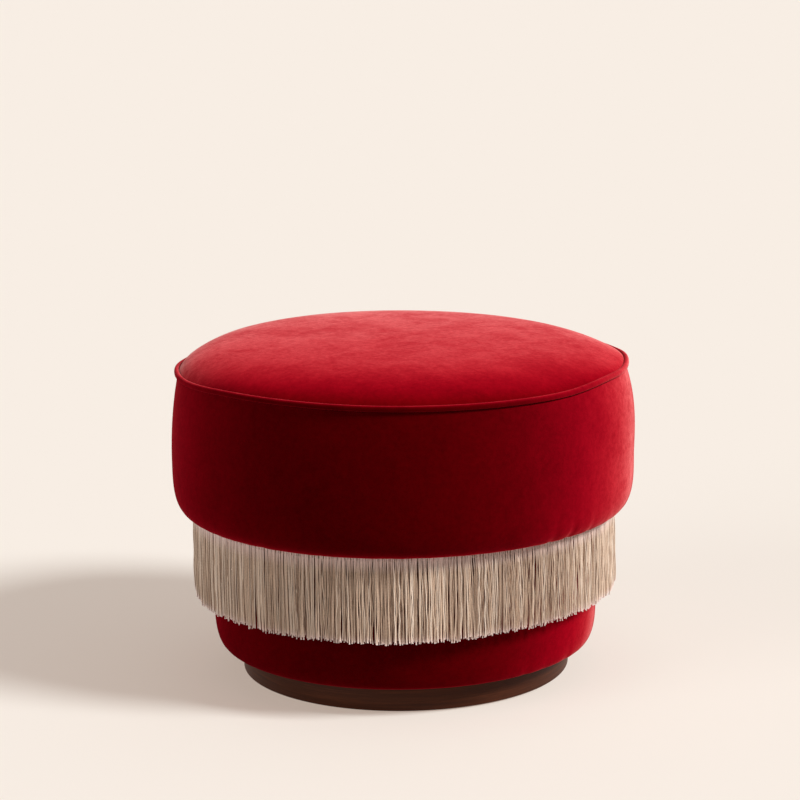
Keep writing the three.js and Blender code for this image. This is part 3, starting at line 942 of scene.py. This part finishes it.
# Seat filling: a firm foam block let over the board, a softer foam layer with the crown
# on it, and a blanket of wadding that rounds the top under the velvet.
side_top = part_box("seat_side_cover")[1][2]
seat_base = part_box("seat_side_cover")[0][2]
seat_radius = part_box("seat_side_cover")[1][0]
crown_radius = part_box("seat_top_cover")[1][0]
crown_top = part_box("seat_top_cover")[1][2]
crown_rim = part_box("seat_top_cover")[0][2] + velvet_thickness
shoulder_rise = 0.0225
shoulder_power = 8.5
edge_seat = 0.0022
edge_roll = 0.0030
edge_power = 64
crown_step_power = 1.9
filling_steps = 24
base_foam_side_steps = 10
top_foam_side_steps = 8
seat_inset_top = 0.0115
seat_corner_run = 0.036
seat_corner_rise = 0.069
seat_corner_power = 3.5
belly_height = seat_base + seat_corner_rise
seat_corner_radius = seat_radius - seat_corner_run
board_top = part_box("seat_board")[1][2] + lining_gap
base_foam_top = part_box("seat_base_foam")[1][2]
wadding_thickness = 0.008
crown_wave = 0.0006
crown_lean = 0.0040
crown_lean_power = 20
seam_follow_power = 8
seam_wander = 0.0007
seam_marks = [
    (-180, -0.0040), (-159, -0.0030), (-138, 0.0016), (-122, 0.0021), (-95, 0.0002), (-62, -0.0015),
    (-46, -0.0015), (-29, 0.0017), (-14, -0.0002), (1, 0.0010), (16, -0.0030), (32, -0.0046),
    (90, -0.0046), (148, -0.0056), (165, -0.0072),
]
piping_radius = (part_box("seat_piping")[1][2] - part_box("seat_piping")[0][2]) / 2
piping_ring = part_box("seat_piping")[1][0] - piping_radius
flange_width = 0.012
flange_inner = piping_ring - piping_radius - flange_width
filling_inset = velvet_thickness + lining_gap
filling_follow = 0.060

seam_out = hand_line(41, slowest=3, fastest=16)
seam_up = laid_line(seam_marks)
crown_patch = hand_line(52, slowest=1, fastest=4)


def crown_height(radius):
    """Height of the seat's top: a broad dome, a round shoulder and a small roll at the edge."""
    share = radius / crown_radius
    middle_rise = crown_top - crown_rim - shoulder_rise - edge_seat
    rise = middle_rise * (1 - share ** 2)
    rise += (shoulder_rise - edge_roll) * (1 - share ** shoulder_power)
    return crown_rim + edge_seat + rise + edge_roll * (1 - share ** edge_power)


def crown_line(inset, reach, steps):
    """Points over the seat's crown from the axis out to a radius, closer towards its edge."""
    shares = [1 - (1 - step / steps) ** crown_step_power for step in range(steps + 1)]
    return [(share * reach, crown_height(share * reach) - inset) for share in shares]


def crown_lift(angle, share):
    """How far the crown is off an even one: it follows the seam at its edge, stands a little
    lower on the right, and has the faint unevenness of hand-laid wadding.
    """
    follow = seam_up(angle) * share ** seam_follow_power
    lean = -crown_lean * share * math.cos(angle) * (1 - share ** crown_lean_power)
    return follow + lean + crown_wave * crown_patch(angle) * math.sin(math.pi * share)


def filling_shape(angle, radius, height):
    """The filling under the crown follows it, and lies level lower down."""
    follow = min(1.0, max(0.0, 1 - (crown_rim - height) / filling_follow))
    return radius, height + follow * crown_lift(angle, min(1.0, radius / crown_radius))


def side_radius(height):
    """Radius of the barrel side at a height, widest low down."""
    share = (height - belly_height) / (side_top - belly_height)
    return seat_radius - seat_inset_top * share ** 2


def seat_side(inset, top, steps):
    """The seat's outline from a height down its barrel side and in under its base."""
    points = []
    for step in range(steps):
        height = top + (belly_height - top) * step / steps
        points.append((side_radius(height) - inset, height))
    run = seat_corner_run - inset
    rise = seat_corner_rise - inset
    return points + round_corner(seat_corner_radius, belly_height, run, rise, seat_corner_power, steps)


def wadding_finish():
    material, shade = new_finish("wadding")
    place = shade.node("ShaderNodeTexCoord", output="Object")
    fluff = mottle(shade, place, scale=260.0, detail=6.0, roughness=0.7)
    finish_with(shade, shade.node("ShaderNodeBsdfPrincipled", inputs={
        "Base Color": coloured(shade, fluff, (0.3, (0.72, 0.70, 0.66)), (0.7, (0.88, 0.87, 0.84))),
        "Roughness": 1.0,
        "Normal": roughened(shade, fluff, strength=0.8, depth=0.0015),
    }))
    return material


base_foam_outline = [
    (0, base_foam_top),
    *seat_side(filling_inset, base_foam_top, base_foam_side_steps),
    (seat_corner_radius, board_top),
    (0, board_top),
]
base_foam = turned("seat_base_foam_block", base_foam_outline, even_turns(foam_steps))
add_piece(base_foam, foam, "foam", "seat_base_foam")

top_foam_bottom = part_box("seat_top_foam")[0][2]
top_foam_inset = filling_inset + wadding_thickness + lining_gap
top_foam_reach = flange_inner - lining_gap
top_foam_edge = crown_rim - piping_radius - lining_gap - wadding_thickness / 2 - lining_gap
top_foam_outline = crown_line(top_foam_inset, top_foam_reach, filling_steps)
for step in range(top_foam_side_steps + 1):
    height = top_foam_edge + (top_foam_bottom - top_foam_edge) * step / top_foam_side_steps
    top_foam_outline.append((side_radius(height) - filling_inset, height))
top_foam_outline.append((0, top_foam_bottom))
top_foam = turned("seat_top_foam_layer", top_foam_outline, even_turns(foam_steps), shape=filling_shape)
add_piece(top_foam, foam, "foam", "seat_top_foam")

wadding_rim = seat_radius - seat_inset_top - filling_inset - lining_gap
wadding_edge_top = crown_rim - piping_radius - lining_gap
wadding_outline = [
    *crown_line(filling_inset, top_foam_reach, filling_steps),
    (top_foam_reach, wadding_edge_top),
    (wadding_rim, wadding_edge_top),
    (wadding_rim, wadding_edge_top - wadding_thickness / 2),
    *crown_line(filling_inset + wadding_thickness, top_foam_reach, filling_steps)[::-1],
]
wadding = turned("seat_wadding_blanket", wadding_outline, even_turns(foam_steps), shape=filling_shape)
add_piece(wadding, wadding_finish(), "wadding", "seat_wadding")


# Seat side: a strip of velvet sewn into a ring at the back and to the piping above. It
# bellies over the foam, is pulled in round the lower corner and stapled under the board.
side_steps = 26
side_gathers = 58
side_gathers_stray = 18
side_gather_depth = 0.00025
side_gather_power = 2
side_seam_power = 3
side_hand_wave = 0.0006
side_pleats = [(-51, 0.0008), (-45, 0.0015), (-37, 0.0007), (-128, 0.0003), (38, 0.0008), (143, 0.0007)]
side_pleat_width = math.radians(1.0)
side_scallop = 1.1
side_fullness = 0.0034
side_fullness_turn = math.radians(38)
side_fullness_power = 1.3

side_gather = hand_line(43, side_gathers - side_gathers_stray, side_gathers + side_gathers_stray)
side_wave = hand_line(44, slowest=2, fastest=8)
side_tack_radius = seat_corner_radius - tack_margin


def side_shape(angle, radius, height):
    """Follows the piping at the top, is a little fuller on the right, and is puckered where
    it turns under the seat.
    """
    upper = max(0.0, (height - belly_height) / (side_top - belly_height))
    top_share = upper ** side_seam_power
    low_share = max(0.0, 1 - (height - seat_base) / seat_corner_rise)
    turned_in = min(1.0, max(0.0, (radius - side_tack_radius) / tack_margin))
    pull = low_share ** side_gather_power * turned_in
    dip = side_gather_depth * side_gather(angle) + pleat_dip(angle, side_pleats, side_pleat_width)
    wave = side_hand_wave * side_wave(angle) * (1 - top_share) * turned_in
    full = side_fullness * math.exp(-(turn_from(0, angle) / side_fullness_turn) ** 2)
    full *= math.sin(math.pi * upper ** side_fullness_power)
    radius += seam_wander * seam_out(angle) * top_share - dip * pull - wave + full
    radius -= seam_dip(angle, radius) * turned_in
    return radius, height + seam_up(angle) * top_share + dip * pull * side_scallop


side_outline = (
    seat_side(0, side_top, side_steps)
    + [(side_tack_radius, seat_base), (side_tack_radius, seat_base + velvet_thickness)]
    + seat_side(velvet_thickness, side_top, side_steps)[::-1]
)
seat_side_velvet = turned(
    "seat_side_velvet", side_outline, seamed_turns(cover_steps, seat_radius), shape=side_shape,
)
side_red = velvet_finish(
    "red_velvet_side", end_colour=(0.080, 0.0002, 0.0010), side_colour=(0.69, 0.003, 0.022),
    side_spread=1.7, tip_spread=8.0, tip_level=0.5, lean_round=0.19, lean_up=0.25,
)
add_piece(seat_side_velvet, side_red, "velvet", "seat_side_cover")


# Piping: a cord covered in a bias strip of the same velvet, sewn between the side and the
# top with its flange turned in. It wanders a little, and its ends lap at the back.
piping_height = crown_rim
flange_thickness = 0.0016
piping_steps = 22
piping_square = 3.4
lap_length = 0.010
lap_swell = 0.0006


def piping_shape(angle, radius, height):
    """The cord follows the seam, and is a little thicker where its ends lap."""
    lap = math.exp(-(turn_from(math.pi / 2, angle) * piping_ring / lap_length) ** 2)
    on_flange = radius < (flange_inner + piping_ring - piping_radius) / 2
    fat = 1 if on_flange else 1 + lap_swell / piping_radius * lap
    r = piping_ring + (radius - piping_ring) * fat + seam_wander * seam_out(angle)
    return r, piping_height + (height - piping_height) * fat + seam_up(angle)


piping_outline = []
piping_end = math.pi + math.asin(1 - flange_thickness / piping_radius)
for step in range(piping_steps + 1):
    angle = -math.pi / 2 + (piping_end + math.pi / 2) * step / piping_steps
    across = math.cos(angle)
    up = math.sin(angle)
    if up < 0:
        across = max(0.0, across) ** (2 / piping_square)
        up = -(-up) ** (2 / piping_square)
    piping_outline.append((piping_ring + piping_radius * across, piping_height + piping_radius * up))
flange_bottom = piping_height - piping_radius
piping_outline.append((flange_inner, flange_bottom + flange_thickness))
piping_outline.append((flange_inner, flange_bottom))
seat_piping = turned("seat_piping_cord", piping_outline, even_turns(cover_steps), shape=piping_shape)
add_piece(seat_piping, side_red, "velvet", "seat_piping")


# Seat top: a round panel of velvet, sewn to the piping and drawn tight over the wadding,
# so that it crowns in the middle and rolls down steeply at its edge.
crown_steps = 54
edge_over = 0.0015


def crown_shape(angle, radius, height):
    """The velvet follows the seam at its edge and the wadding under it elsewhere."""
    share = radius / crown_radius
    radius += seam_wander * share ** seam_follow_power * seam_out(angle)
    return radius, height + crown_lift(angle, share)


crown_reach = crown_radius + edge_over
crown_outer = crown_line(0, crown_reach, crown_steps)
crown_inner = crown_line(velvet_thickness, crown_reach, crown_steps)
seat_top_velvet = turned(
    "seat_top_velvet", crown_outer + crown_inner[::-1], even_turns(cover_steps), shape=crown_shape,
)
top_red = velvet_finish(
    "red_velvet_top", end_colour=(0.145, 0.0004, 0.0018), side_colour=(0.89, 0.003, 0.028),
    side_spread=2.2, tip_spread=8.6, tip_level=1.2, lean_round=-0.10, lean_up=0.0,
)
add_piece(seat_top_velvet, top_red, "velvet", "seat_top_cover")
